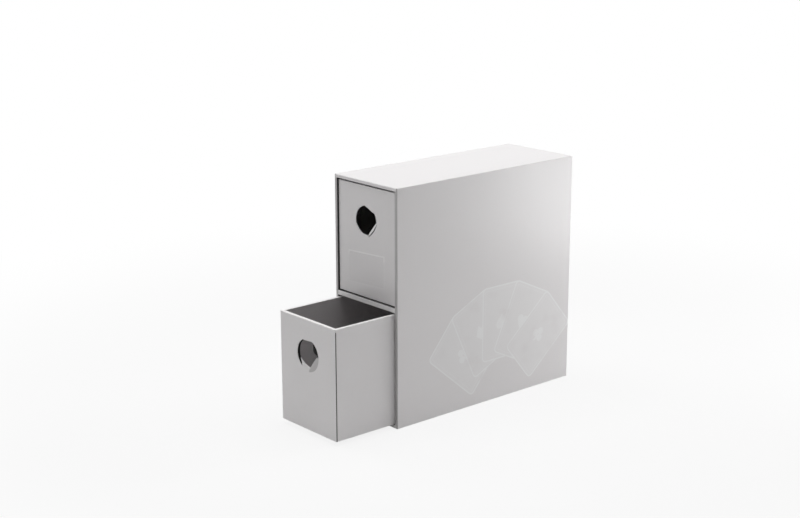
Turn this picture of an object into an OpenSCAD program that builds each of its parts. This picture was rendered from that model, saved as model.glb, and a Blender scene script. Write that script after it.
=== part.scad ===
// Card box with two drawers: a slip case of paper-covered board, open at the
// front, with a shelf between two cells. An open-topped drawer slides in each
// cell, with a round thumb hole in its front. Each drawer takes one long row of
// sleeved cards, standing up. The lower drawer is drawn part of the way out.
// Frame: +X to the right, +Y to the back, +Z up. The origin is the centre of
// the case's underside, on the surface that it stands on.

/* [Cards] */
// Width of one sleeved card, across the drawer
card_w = 66; // [57:0.5:80]
// Height of one sleeved card, standing in the drawer
card_h = 91; // [80:0.5:125]
// Length of the row of cards that one drawer takes
row_l = 195.6; // [120:0.1:300]
// Play at each side of the cards
card_side_play = 0.6; // [0.3:0.1:3]
// Head room between the cards and the drawer's rim
card_head_room = 1.8; // [0.5:0.1:8]

/* [Board and paper] */
// Thickness of the board of the case and the drawers
board_t = 2.5; // [1.5:0.1:4]
// Thickness of the shelf's board
shelf_board_t = 3.8; // [2:0.1:6]
// Thickness of the covering and lining papers
paper_t = 0.2; // [0.1:0.05:0.4]
// Thickness of the paper tape that stays the corners of the boards
stay_t = 0.15; // [0.1:0.05:0.4]
// Width of one leg of a corner stay
stay_leg = 12; // [6:0.5:14]

/* [Fit of the drawers] */
// Gap at each side of a drawer
side_gap = 0.6; // [0.4:0.1:2]
// Gap under a drawer, between it and the lining of its cell
floor_gap = 0.8; // [0.3:0.1:1]
// Gap over a drawer
head_gap = 1.5; // [0.5:0.1:5]
// Gap behind a closed drawer
back_gap = 0.3; // [0.3:0.1:3]
// How far a closed drawer's front lies behind the front edges of the case
front_recess = 1.4; // [0:0.1:6]
// How far the lower drawer stands out of the case
lower_stand_out = 62.2; // [0:0.1:180]

/* [Thumb holes] */
// Diameter of the round hole in the front board
hole_d = 28.5; // [18:0.5:32]
// Distance from the drawer's rim down to the middle of the hole
hole_drop = 30.5; // [22:0.5:50]
// Number of tongues of paper that are turned in through the hole
tongue_count = 8; // [6:1:12]
// Gap between the tongues' corners and the wall of the hole
tongue_gap = 0.1; // [0.05:0.05:0.3]
// Width of the slit between two tongues
slit_w = 0.3; // [0.2:0.05:0.8]
// How far a slit runs on into the front paper past the hole
slit_overrun = 0.8; // [0.3:0.1:2.5]

/* [Paper edges] */
// Width of the paper that is turned under a drawer
turn_under = 12; // [6:0.5:18]
// Width of the open seam down a drawer's front corners
seam_w = 0.9; // [0.3:0.1:3]
// Distance from the rim down to the top of that seam
seam_drop = 2.4; // [1:0.1:8]

/* [Hidden] */
// Overrun of every cut past the face that it opens
cut = 1;

// Walls: board with one paper on each face
wall_t = board_t + 2 * paper_t;
shelf_t = shelf_board_t + 2 * paper_t;

// Drawer, outside and inside
inside_w = card_w + 2 * card_side_play;
drawer_w = inside_w + 2 * wall_t;
drawer_h = wall_t + card_h + card_head_room;
drawer_l = row_l + 2 * wall_t;
hole_z = drawer_h - hole_drop;
tongue_r = hole_d / 2 - tongue_gap;
tongue_inner_r = tongue_r - paper_t / cos(180 / tongue_count);

// Cells and case
cell_w = drawer_w + 2 * side_gap;
cell_h = floor_gap + drawer_h + head_gap;
cell_l = front_recess + drawer_l + back_gap;
case_w = cell_w + 2 * wall_t;
case_h = 2 * cell_h + shelf_t + 2 * wall_t;
case_l = cell_l + wall_t;
front_y = -case_l / 2;
back_y = case_l / 2;
lower_cell_z = wall_t;
shelf_z = lower_cell_z + cell_h;
upper_cell_z = shelf_z + shelf_t;

// Where the drawers lie: the front face and the underside of each
upper_drawer_y = front_y + front_recess;
upper_drawer_z = upper_cell_z + floor_gap;
lower_drawer_y = front_y - lower_stand_out;
lower_drawer_z = lower_cell_z + floor_gap;

// Smoothness of the round holes
hole_fn = 96;

// Colours of the papers and the board
white_paper = [0.93, 0.93, 0.94];
dark_paper = [0.38, 0.36, 0.37];
grey_board = [0.66, 0.64, 0.60];
stay_tape = [0.27, 0.26, 0.27];

// Helpers

// A block between two places along each axis
module block(x, y, z) {
    translate([x[0], y[0], z[0]])
        cube([x[1] - x[0], y[1] - y[0], z[1] - z[0]]);
}

// Four L-shaped stays on the corners of a box that stands along Z. With over
// above zero it is the cutter that seats them in the boards.
module stays(half_x, y, z, over = 0) {
    difference() {
        block([-half_x - over, half_x + over], [y[0] - over, y[1] + over],
              [z[0] - over, z[1] + over]);
        block([-half_x + stay_t, half_x - stay_t], [y[0] + stay_t, y[1] - stay_t],
              [z[0] - 2 * cut, z[1] + 2 * cut]);
        block([-half_x + stay_leg, half_x - stay_leg],
              [y[0] - 2 * cut, y[1] + 2 * cut], [z[0] - 2 * cut, z[1] + 2 * cut]);
        block([-half_x - 2 * cut, half_x + 2 * cut],
              [y[0] + stay_leg, y[1] - stay_leg], [z[0] - 2 * cut, z[1] + 2 * cut]);
    }
}

// Case boards

// Places where the boards' faces lie
case_board_x = case_w / 2 - paper_t;
case_inner_x = case_board_x - board_t;
case_board_y = [front_y + paper_t, back_y - paper_t];
case_back_inner_y = back_y - paper_t - board_t;
case_board_z = [paper_t, case_h - paper_t];
case_inner_z = [paper_t + board_t, case_h - paper_t - board_t];

// The stays run along the four long edges of the boards
module long_edge_stays(over = 0) {
    rotate([-90, 0, 0])
        stays(case_board_x, [-case_board_z[1], -case_board_z[0]], case_board_y, over);
}

module case_side_board(side) {
    color(grey_board) difference() {
        scale([side, 1, 1])
            block([case_inner_x, case_board_x], case_board_y, case_inner_z);
        long_edge_stays(cut);
    }
}

module case_left_board() {
    case_side_board(-1);
}

module case_right_board() {
    case_side_board(1);
}

module case_top_board() {
    color(grey_board) difference() {
        block([-case_board_x, case_board_x], case_board_y,
              [case_inner_z[1], case_board_z[1]]);
        long_edge_stays(cut);
    }
}

module case_bottom_board() {
    color(grey_board) difference() {
        block([-case_board_x, case_board_x], case_board_y,
              [case_board_z[0], case_inner_z[0]]);
        long_edge_stays(cut);
    }
}

module case_back_board() {
    color(grey_board)
        block([-case_inner_x, case_inner_x], [case_back_inner_y, case_board_y[1]],
              case_inner_z);
}

module shelf_board() {
    color(grey_board)
        block([-case_inner_x, case_inner_x], [case_board_y[0], case_back_inner_y],
              [shelf_z + paper_t, shelf_z + shelf_t - paper_t]);
}

module case_corner_stays() {
    color(stay_tape) long_edge_stays();
}

// Case papers

// One sheet round the left side, the back and the right side, turned over the
// front edges of the side boards
module case_side_wrap() {
    color(white_paper) difference() {
        block([-case_w / 2, case_w / 2], [front_y, back_y], case_board_z);
        // the boards
        block([-case_board_x, case_board_x], case_board_y,
              [-cut, case_h + cut]);
        // the mouth of the case
        block([-cell_w / 2, cell_w / 2], [front_y - cut, front_y + 2 * paper_t],
              [-cut, case_h + cut]);
        // the front edges of the top and bottom boards
        for (z = [[-cut, wall_t], [case_h - wall_t, case_h + cut]])
            block([-case_board_x, case_board_x],
                  [front_y - cut, front_y + 2 * paper_t], z);
    }
}

// A sheet over one end of the case, turned over the front edge of its board
module end_sheet() {
    difference() {
        block([-case_w / 2, case_w / 2], [front_y, back_y], [0, wall_t]);
        // the board
        block([-case_w / 2 - cut, case_w / 2 + cut], [case_board_y[0], back_y + cut],
              [paper_t, wall_t + cut]);
        // the ends of the lip, where the side wrap runs past
        for (side = [-1, 1])
            scale([side, 1, 1])
                block([case_board_x, case_w / 2 + cut], [front_y - cut, back_y + cut],
                      [paper_t, wall_t + cut]);
    }
}

module case_top_sheet() {
    color(white_paper) translate([0, 0, case_h]) mirror([0, 0, 1]) end_sheet();
}

module case_base_sheet() {
    color(white_paper) end_sheet();
}

module shelf_edge_strip() {
    color(white_paper)
        block([-cell_w / 2, cell_w / 2], [front_y, case_board_y[0]],
              [shelf_z, upper_cell_z]);
}

// The dark lining of one cell: four walls and a back, open at the front
module cell_lining(floor_z) {
    color(dark_paper) difference() {
        block([-case_inner_x, case_inner_x], [case_board_y[0], case_back_inner_y],
              [floor_z - paper_t, floor_z + cell_h + paper_t]);
        block([-cell_w / 2, cell_w / 2],
              [case_board_y[0] - cut, case_back_inner_y - paper_t],
              [floor_z, floor_z + cell_h]);
    }
}

module upper_cell_lining() {
    cell_lining(upper_cell_z);
}

module lower_cell_lining() {
    cell_lining(lower_cell_z);
}

// Drawer, in its own frame: the front face at Y = 0, the underside at Z = 0

drawer_board_x = drawer_w / 2 - paper_t;
drawer_inner_x = drawer_board_x - board_t;
drawer_board_y = [paper_t, drawer_l - paper_t];
drawer_inner_y = [paper_t + board_t, drawer_l - paper_t - board_t];
drawer_board_z = [paper_t, drawer_h - paper_t];
window_x = drawer_w / 2 - turn_under;

module drawer_stays(over = 0) {
    stays(drawer_board_x, drawer_board_y, drawer_board_z, over);
}

// The thumb hole through the front wall, as a round cutter
module thumb_bore() {
    translate([0, -cut, hole_z]) rotate([-90, 0, 0])
        cylinder(d = hole_d, h = wall_t + 2 * cut, $fn = hole_fn);
}

// The outline of the tongues, as a prism through the front wall
module tongue_prism(r, y) {
    translate([0, y[0], hole_z]) rotate([-90, 0, 0]) rotate([0, 0, 180 / tongue_count])
        cylinder(r = r, h = y[1] - y[0], $fn = tongue_count);
}

// The slits between the tongues, which run on a little into the front paper
module tongue_slits() {
    translate([0, 0, hole_z])
        for (i = [0 : tongue_count - 1])
            rotate([0, (i + 1 / 2) * 360 / tongue_count, 0])
                block([tongue_inner_r / 2, tongue_r + slit_overrun],
                      [-cut, wall_t + cut], [-slit_w / 2, slit_w / 2]);
}

module drawer_front_board() {
    color(grey_board) difference() {
        block([-drawer_board_x, drawer_board_x],
              [drawer_board_y[0], drawer_inner_y[0]], drawer_board_z);
        thumb_bore();
        drawer_stays(cut);
    }
}

module drawer_back_board() {
    color(grey_board) difference() {
        block([-drawer_board_x, drawer_board_x],
              [drawer_inner_y[1], drawer_board_y[1]], drawer_board_z);
        drawer_stays(cut);
    }
}

module drawer_side_board(side) {
    color(grey_board) difference() {
        scale([side, 1, 1])
            block([drawer_inner_x, drawer_board_x], drawer_inner_y, drawer_board_z);
        drawer_stays(cut);
    }
}

module drawer_bottom_board() {
    color(grey_board)
        block([-drawer_inner_x, drawer_inner_x], drawer_inner_y, [paper_t, paper_t + board_t]);
}

module drawer_corner_stays() {
    color(stay_tape) drawer_stays();
}

// The front paper, with its lips over the rim and under the bottom, and with
// the tongues turned in through the thumb hole
module drawer_front_sheet() {
    color(white_paper) difference() {
        union() {
            block([-drawer_w / 2, drawer_w / 2], [0, paper_t], [0, drawer_h]);
            // the lip over the rim
            block([-inside_w / 2, inside_w / 2], [0, wall_t], [drawer_board_z[1], drawer_h]);
            // the lip under the bottom
            block([-window_x, window_x], [0, turn_under], [0, paper_t]);
            // the tongues
            tongue_prism(tongue_r, [0, drawer_inner_y[0]]);
        }
        tongue_prism(tongue_inner_r, [-cut, wall_t + cut]);
        tongue_slits();
    }
}

// The paper round the sides and the back, turned over the rim and under
module drawer_side_wrap() {
    color(white_paper) difference() {
        block([-drawer_w / 2, drawer_w / 2], [paper_t, drawer_l], [0, drawer_h]);
        // the boards
        block([-drawer_board_x, drawer_board_x], [-cut, drawer_board_y[1]], drawer_board_z);
        // the mouth, with the front lip
        block([-inside_w / 2, inside_w / 2], [-cut, drawer_l - wall_t],
              [drawer_h / 2, drawer_h + cut]);
        // the window that the base sheet fills
        block([-window_x, window_x], [-cut, drawer_l - turn_under], [-cut, drawer_h / 2]);
        // the open seams down the front corners
        for (side = [-1, 1])
            scale([side, 1, 1])
                block([drawer_board_x, drawer_w / 2 + cut], [-cut, paper_t + seam_w],
                      [-cut, drawer_h - seam_drop]);
    }
}

module drawer_base_sheet() {
    color(white_paper)
        block([-window_x, window_x], [turn_under, drawer_l - turn_under], [0, paper_t]);
}

module drawer_wall_lining() {
    color(dark_paper) difference() {
        block([-drawer_inner_x, drawer_inner_x], drawer_inner_y,
              [paper_t + board_t, drawer_board_z[1]]);
        block([-inside_w / 2, inside_w / 2], [wall_t, drawer_l - wall_t], [0, drawer_h]);
        thumb_bore();
    }
}

module drawer_floor_lining() {
    color(dark_paper)
        block([-inside_w / 2, inside_w / 2], [wall_t, drawer_l - wall_t],
              [paper_t + board_t, wall_t]);
}

// Upper drawer

module in_upper() {
    translate([0, upper_drawer_y, upper_drawer_z]) children();
}

module upper_front_board() { in_upper() drawer_front_board(); }
module upper_back_board() { in_upper() drawer_back_board(); }
module upper_left_board() { in_upper() drawer_side_board(-1); }
module upper_right_board() { in_upper() drawer_side_board(1); }
module upper_bottom_board() { in_upper() drawer_bottom_board(); }
module upper_corner_stays() { in_upper() drawer_corner_stays(); }
module upper_front_sheet() { in_upper() drawer_front_sheet(); }
module upper_side_wrap() { in_upper() drawer_side_wrap(); }
module upper_base_sheet() { in_upper() drawer_base_sheet(); }
module upper_wall_lining() { in_upper() drawer_wall_lining(); }
module upper_floor_lining() { in_upper() drawer_floor_lining(); }

// Lower drawer

module in_lower() {
    translate([0, lower_drawer_y, lower_drawer_z]) children();
}

module lower_front_board() { in_lower() drawer_front_board(); }
module lower_back_board() { in_lower() drawer_back_board(); }
module lower_left_board() { in_lower() drawer_side_board(-1); }
module lower_right_board() { in_lower() drawer_side_board(1); }
module lower_bottom_board() { in_lower() drawer_bottom_board(); }
module lower_corner_stays() { in_lower() drawer_corner_stays(); }
module lower_front_sheet() { in_lower() drawer_front_sheet(); }
module lower_side_wrap() { in_lower() drawer_side_wrap(); }
module lower_base_sheet() { in_lower() drawer_base_sheet(); }
module lower_wall_lining() { in_lower() drawer_wall_lining(); }
module lower_floor_lining() { in_lower() drawer_floor_lining(); }

case_left_board();
case_right_board();
case_top_board();
case_bottom_board();
case_back_board();
shelf_board();
case_corner_stays();
case_side_wrap();
case_top_sheet();
case_base_sheet();
shelf_edge_strip();
upper_cell_lining();
lower_cell_lining();
upper_front_board();
upper_back_board();
upper_left_board();
upper_right_board();
upper_bottom_board();
upper_corner_stays();
upper_front_sheet();
upper_side_wrap();
upper_base_sheet();
upper_wall_lining();
upper_floor_lining();
lower_front_board();
lower_back_board();
lower_left_board();
lower_right_board();
lower_bottom_board();
lower_corner_stays();
lower_front_sheet();
lower_side_wrap();
lower_base_sheet();
lower_wall_lining();
lower_floor_lining();
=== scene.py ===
import math
from typing import NamedTuple

import bpy
import numpy as np
from mathutils import Matrix, Vector


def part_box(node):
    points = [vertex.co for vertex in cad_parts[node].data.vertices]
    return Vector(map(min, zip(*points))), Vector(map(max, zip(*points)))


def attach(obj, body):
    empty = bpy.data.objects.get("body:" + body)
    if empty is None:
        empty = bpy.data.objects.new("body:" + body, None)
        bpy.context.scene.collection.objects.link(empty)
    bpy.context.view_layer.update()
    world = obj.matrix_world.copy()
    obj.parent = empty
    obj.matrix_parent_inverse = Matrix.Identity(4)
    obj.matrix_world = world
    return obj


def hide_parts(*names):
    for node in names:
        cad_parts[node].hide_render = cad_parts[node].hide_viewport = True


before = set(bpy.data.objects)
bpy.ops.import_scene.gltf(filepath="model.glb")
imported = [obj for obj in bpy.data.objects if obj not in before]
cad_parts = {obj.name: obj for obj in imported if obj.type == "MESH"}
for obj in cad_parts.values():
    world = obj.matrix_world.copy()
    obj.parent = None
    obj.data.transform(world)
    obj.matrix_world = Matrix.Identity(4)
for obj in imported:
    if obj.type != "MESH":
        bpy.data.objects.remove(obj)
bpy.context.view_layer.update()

MM = 0.001
WHITE = (1.0, 1.0, 1.0, 1.0)

# Folds of the papers
FOLD_R = 0.6 * MM
LIP_R = 0.3 * MM            # where a paper turns into a mouth
FOLD_POWER = 2.7            # of the superellipse that a fold follows
FOLD_STEPS = 3              # along half a fold
JOINT_GAP = 0.05 * MM       # between two papers that meet
TOP_INSET = 1.2 * MM        # how far the wrap comes over the top and the underside

# Thumb holes
HOLE_STEPS = 24             # points along a quarter of the hole
HOLE_POINTS = 4 * HOLE_STEPS
HOLE_TURN = 360 / HOLE_POINTS   # degrees from one point to the next
HOLE_FIELD = 17 * MM        # half the side of the square of flat paper round the hole
HOLE_RINGS = (0.0, 0.35, 0.6)   # shares of the way from that square to the tongues
BORE_MARGIN = 5 * MM        # the bore's points lie further than this from the board's edges
TONGUE_FOLD = 0.24 * MM     # radius of the fold where a tongue turns in
TONGUE_STEPS = 3            # along that fold
TONGUE_LEAST = 1.2          # least depth of its end below its fold's start, in shares of the fold
SWELL_POWER = 0.6           # how fast a bulge rises from the tongue's ends
SLIT_HALF = 0.1 * MM        # half a slit's width in the flat paper
SLIT_SPREAD = 0.09          # what that half gains with the depth
SLIT_RUN = 0.3 * MM         # how far a slit runs out into the flat paper

# Limits of the laying out
SMALL = 1e-7
KEY_STEP = 2 * SMALL        # points that round to the same steps are one
LINE_STEP = 10 * SMALL      # lines nearer than this are one
NUDGE = 1e-3                # share of the way into a face at which its side of a mouth is read
TINY = 1e-12                # least length that a normal is divided by


# Sizes from the frame

def low(node):
    return np.array(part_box(node)[0])


def high(node):
    return np.array(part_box(node)[1])


PAPER_T = low("case_bottom_board")[2] - low("case_base_sheet")[2]
CASE_LOW = low("case_side_wrap") - [0, 0, PAPER_T]
CASE_HIGH = high("case_side_wrap") + [0, 0, PAPER_T]
CELL_LOW_X, CELL_HIGH_X = low("shelf_edge_strip")[0], high("shelf_edge_strip")[0]
BASE_TOP = high("case_base_sheet")[2]
CEILING = low("case_top_sheet")[2]
CASE_MOUTH = (1, -1, [CELL_LOW_X, 0, BASE_TOP], [CELL_HIGH_X, 0, CEILING])


# Meshes

def new_piece(name, points, faces, smooth=True):
    data = bpy.data.meshes.new(name)
    data.from_pydata([tuple(p) for p in points], [], faces)
    data.polygons.foreach_set("use_smooth", [smooth] * len(faces))
    piece = bpy.data.objects.new(name, data)
    bpy.context.scene.collection.objects.link(piece)
    return piece


def flat_normal(a, b, c):
    """The way a face through three points looks."""
    normal = np.cross(b - a, c - b)
    return normal / max(np.linalg.norm(normal), TINY)


# A sheet of paper on the faces of a box with rounded edges

class Paper:
    """The outer skin is laid out on the sharp box and then drawn onto the rounded one.
    A mouth is an opening in one face: (axis, side, low corner, high corner)."""

    def __init__(self, box_low, box_high, fold=FOLD_R, mouth=None):
        self.low, self.high = np.array(box_low, float), np.array(box_high, float)
        self.fold = fold
        self.mouth = mouth
        self.places, self.index, self.faces = [], {}, []
        self.fixed = set()
        steps = [math.tan(math.radians(45 * i / FOLD_STEPS)) for i in range(FOLD_STEPS + 1)]
        self.lines = []
        for axis in range(3):
            lines = {self.low[axis] + fold * (1 - s) for s in steps}
            lines |= {self.high[axis] - fold * (1 - s) for s in steps}
            if mouth and axis != mouth[0]:
                lines |= {mouth[2][axis] - LIP_R * (1 - s) for s in steps}
                lines |= {mouth[3][axis] + LIP_R * (1 - s) for s in steps}
            self.lines.append(lines)

    def rule(self, axis, *places):
        """Adds places along an axis at which every face is divided."""
        self.lines[axis] |= set(places)

    def between(self, axis, start, end):
        """The places along an axis that divide a face from start to end."""
        found = sorted(x for x in self.lines[axis] | {start, end}
                       if start - SMALL <= x <= end + SMALL)
        kept = found[:1]
        for x in found[1:]:
            if x - kept[-1] > LINE_STEP:
                kept.append(x)
        return kept

    def point(self, place, fixed=False):
        """The number of the point at a place. A fixed one isn't drawn onto the rounded box."""
        key = tuple(int(round(c / KEY_STEP)) for c in place)
        if key not in self.index:
            self.index[key] = len(self.places)
            self.places.append(np.array(place, float))
            if fixed:
                self.fixed.add(self.index[key])
        return self.index[key]

    def patch(self, axis, side, first, second, skip=None):
        """Covers part of one face. First and second are its spans along the next two axes."""
        b, c = (axis + 1) % 3, (axis + 2) % 3
        level = self.high[axis] if side > 0 else self.low[axis]
        us, vs = self.between(b, *first), self.between(c, *second)
        for u0, u1 in zip(us, us[1:]):
            for v0, v1 in zip(vs, vs[1:]):
                if skip and skip((u0 + u1) / 2, (v0 + v1) / 2):
                    continue
                ring = []
                for u, v in ((u0, v0), (u1, v0), (u1, v1), (u0, v1)):
                    place = np.zeros(3)
                    place[axis], place[b], place[c] = level, u, v
                    ring.append(self.point(place))
                self.faces.append(ring if side > 0 else ring[::-1])

    def at_mouth(self, place, normal_at):
        """The fold at the mouth's edge, or None away from it."""
        if not self.mouth:
            return None
        axis, side, mouth_low, mouth_high = self.mouth
        level = self.high[axis] if side > 0 else self.low[axis]
        if abs(place[axis] - level) > SMALL:
            return None
        others = [a for a in range(3) if a != axis]

        def out(p):
            return {a: max(mouth_low[a] - p[a], p[a] - mouth_high[a]) for a in others}

        def way(a):
            return 1 if place[a] > (mouth_low[a] + mouth_high[a]) / 2 else -1

        away = max(out(place).values())
        if away > LIP_R - SMALL:
            return None
        run = LIP_R - away
        norm = (run ** FOLD_POWER + LIP_R ** FOLD_POWER) ** (1 / FOLD_POWER)
        drawn = place.copy()
        for a in others:
            if out(place)[a] >= away - SMALL:
                drawn[a] += way(a) * (LIP_R - LIP_R * run / norm - away)
        drawn[axis] = level - side * (LIP_R - LIP_R * LIP_R / norm)
        lead = max(others, key=lambda a: out(normal_at)[a])
        normal = np.zeros(3)
        normal[axis] = side * (LIP_R / norm) ** (FOLD_POWER - 1)
        normal[lead] = -way(lead) * (run / norm) ** (FOLD_POWER - 1)
        return drawn, normal / np.linalg.norm(normal)

    def drawn(self, place, normal_at):
        """Where a point comes on the rounded box, and the way the paper faces there."""
        at_mouth = self.at_mouth(place, normal_at)
        if at_mouth:
            return at_mouth
        core = np.clip(place, self.low + self.fold, self.high - self.fold)
        arm = place - core
        norm = (np.abs(arm) ** FOLD_POWER).sum() ** (1 / FOLD_POWER)
        normal = np.sign(arm) * np.abs(arm) ** (FOLD_POWER - 1)
        return core + arm * self.fold / norm, normal / np.linalg.norm(normal)

    def skin(self):
        """Where the points come, the way each faces, and the normals at each face's corners."""
        outer = np.zeros((len(self.places), 3))
        facing = np.zeros((len(self.places), 3))
        rows = []
        for face in self.faces:
            centre = sum(self.places[i] for i in face) / len(face)
            row = []
            for i in face:
                if i in self.fixed:
                    row.append(None)
                    outer[i] = self.places[i]
                    continue
                near = self.places[i] + (centre - self.places[i]) * NUDGE
                outer[i], normal = self.drawn(self.places[i], near)
                row.append(normal)
                facing[i] += normal
            rows.append(row)
        for face in self.faces:
            fixed = [i for i in face if i in self.fixed]
            if fixed:
                facing[fixed] += flat_normal(*outer[face[:3]])
        facing /= np.linalg.norm(facing, axis=1)[:, None]
        normals = [[facing[i] if n is None else n for i, n in zip(face, row)]
                   for face, row in zip(self.faces, rows)]
        return outer, facing, normals

    def mesh(self, name):
        """The outer skin, an inner one a paper's thickness below, and bands at the open edges."""
        outer, facing, normals = self.skin()
        count = len(outer)
        every = np.vstack([outer, outer - facing * PAPER_T])
        faces = list(self.faces) + [[i + count for i in face[::-1]] for face in self.faces]
        loops = [n for row in normals for n in row]
        loops += [-n for row in normals for n in row[::-1]]
        sides = dict.fromkeys(side for face in self.faces
                              for side in zip(face, face[1:] + face[:1]))
        for a, b in sides:
            if (b, a) not in sides:
                ring = [b, a, a + count, b + count]
                faces.append(ring)
                loops += [flat_normal(*every[ring[:3]])] * 4
        piece = new_piece(name, every, faces)
        piece.data.normals_split_custom_set([tuple(n) for n in loops])
        return piece


# Materials

class Nodes:
    """Shader nodes, added one by one. An input is a value or another node's output."""

    def __init__(self, tree):
        self.tree = tree
        self.tree.nodes.clear()

    def add(self, kind, inputs=(), **settings):
        node = self.tree.nodes.new(kind)
        for key, value in settings.items():
            setattr(node, key, value)
        for key, value in dict(inputs).items():
            if isinstance(value, bpy.types.NodeSocket):
                self.tree.links.new(value, node.inputs[key])
            else:
                node.inputs[key].default_value = value
        return node

    def math(self, operation, first, *others):
        """An operation on one value, or over several values in turn."""
        if not others:
            return self.add("ShaderNodeMath", {0: first}, operation=operation).outputs[0]
        for value in others:
            node = self.add("ShaderNodeMath", {0: first, 1: value}, operation=operation)
            first = node.outputs[0]
        return first


class Shader(Nodes):
    """A material's nodes. Its coordinates are the piece's own."""

    def __init__(self, name):
        self.material = bpy.data.materials.new(name)
        self.material.use_nodes = True
        super().__init__(self.material.node_tree)
        self.coords = self.add("ShaderNodeTexCoord").outputs["Object"]

    def noise(self, scale, detail):
        """A noise from 0 to 1."""
        inputs = {"Vector": self.coords, "Scale": scale, "Detail": detail}
        return self.add("ShaderNodeTexNoise", inputs).outputs["Fac"]

    def ramp(self, value, start, end, low_value=0.0, high_value=1.0):
        """Goes smoothly from the low to the high value while the input goes from start to end."""
        inputs = {"Value": value, "From Min": start, "From Max": end,
                  "To Min": low_value, "To Max": high_value}
        return self.add("ShaderNodeMapRange", inputs, interpolation_type="SMOOTHSTEP").outputs[0]

    def mix(self, share, first, second):
        """A colour between two colours. The mix node tells its sockets apart by number alone."""
        inputs = {0: share, 6: first, 7: second}
        return self.add("ShaderNodeMix", inputs, data_type="RGBA").outputs[2]

    def mix_values(self, share, first, second):
        """A value between two values."""
        return self.add("ShaderNodeMix", {0: share, 2: first, 3: second}).outputs[0]

    def bump(self, height, distance, normal=None):
        inputs = {"Height": height, "Distance": distance}
        if normal:
            inputs["Normal"] = normal
        return self.add("ShaderNodeBump", inputs).outputs[0]

    def split(self, coords=None):
        """The X, Y and Z of coordinates."""
        return self.add("ShaderNodeSeparateXYZ", {0: coords or self.coords}).outputs

    def finish(self, shader):
        self.add("ShaderNodeOutputMaterial", {"Surface": shader})
        return self.material

    def finish_surface(self, colour, rough, normal, others=()):
        inputs = {"Base Color": colour, "Roughness": rough, "Normal": normal} | dict(others)
        return self.finish(self.add("ShaderNodeBsdfPrincipled", inputs).outputs[0])


def edge_distance(s, box_low, box_high):
    """How far a point of a box's surface lies from the box's nearest edge."""
    middle, half = (box_low + box_high) / 2, (box_high - box_low) / 2
    gaps = []
    for axis, place in enumerate(s.split()):
        off = s.math("ABSOLUTE", s.math("SUBTRACT", place, float(middle[axis])))
        gaps.append(s.math("SUBTRACT", float(half[axis]), off))
    a, b, c = gaps
    least, most = s.math("MINIMUM", a, b), s.math("MAXIMUM", a, b)
    return s.math("MAXIMUM", least, s.math("MINIMUM", most, c))


# White coated paper. A noise is given by its scale and its detail.
PAPER_DARK, PAPER_LIGHT = (0.835, 0.815, 0.818, 1), (0.865, 0.845, 0.848, 1)
# The lighter colour along the folds is partly wear and partly a painted highlight of light on the
# rounded folds.
PAPER_WORN_HIGHLIGHT = (0.895, 0.88, 0.875, 1)
PAPER_FIBRE, PAPER_WAVES, PAPER_GLOSS, PAPER_WEAR_HIGHLIGHT = (700, 6), (45, 2), (150, 4), (260, 4)
WEAR_HIGHLIGHT_REACH = (1.4 * MM, 0.2 * MM)
WEAR_HIGHLIGHT_RANGE = (0.42, 0.62)
WEAR_HIGHLIGHT_SHARE = 0.6
PAPER_ROUGH, ROUGH_SPREAD, ROUGH_WORN = 0.27, 0.02, 0.2
WAVE_DEPTH, FIBRE_DEPTH, RELIEF_DEPTH = 0.12 * MM, 0.006 * MM, 0.05 * MM
PAPER_IOR = 1.5


def coated_paper(name, box_low, box_high, relief=None, tint=None):
    """White paper with a gloss film, over board: fibre, the board's waves, worn folds with a
    painted highlight.
    """
    s = Shader(name)
    fibre = s.noise(*PAPER_FIBRE)
    # Along the folds the paper is worn, rougher and lighter: the lightening is partly wear, partly
    # a painted highlight.
    at_fold = s.ramp(edge_distance(s, box_low, box_high), *WEAR_HIGHLIGHT_REACH)
    worn = s.math("MULTIPLY", at_fold, s.ramp(s.noise(*PAPER_WEAR_HIGHLIGHT), *WEAR_HIGHLIGHT_RANGE))
    colour = s.mix(fibre, PAPER_DARK, PAPER_LIGHT)
    colour = s.mix(s.math("MULTIPLY", worn, WEAR_HIGHLIGHT_SHARE), colour, PAPER_WORN_HIGHLIGHT)
    if tint:
        colour = tint(s, colour)
    rough = s.math("MULTIPLY", s.noise(*PAPER_GLOSS), ROUGH_SPREAD)
    rough = s.math("ADD", rough, PAPER_ROUGH, s.math("MULTIPLY", worn, ROUGH_WORN))
    normal = s.bump(s.noise(*PAPER_WAVES), WAVE_DEPTH)
    normal = s.bump(fibre, FIBRE_DEPTH, normal)
    if relief:
        normal = s.bump(relief(s), RELIEF_DEPTH, normal)
    return s.finish_surface(colour, rough, normal, {"IOR": PAPER_IOR})


# Lining paper
LINING_FIBRE, LINING_CLOUDS = (1400, 5), (90, 3)
LINING_RANGE = (0.35, 0.68)
LINING_DARK, LINING_LIGHT = 0.82, 1.15
CLOUD_SHARE = 0.3
LINING_DEPTH = 0.03 * MM
LINING_ROUGH = 0.85
LINING_IOR = 1.45
LINING_GLOSS, SLEEVE_GLOSS = 0.5, 0.1
FIBRE_TINT, CLOUD_TINT = (0.97, 0.98), (0.96, 0.97)
# One lining paper at two levels: the drawers' is made far lighter, painted light inside the
# drawers, and the case's cells' near black, painted shade in the gaps round the drawers.
DRAWER_LINING_LIT, CELL_LINING_SHADED, SLEEVE_DARK_AND_SHADED = 0.64, 0.08, 0.03


def warm_grey(level, tint):
    """A grey of which the green and the blue are shares of the red."""
    return (level, level * tint[0], level * tint[1], 1)


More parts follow.
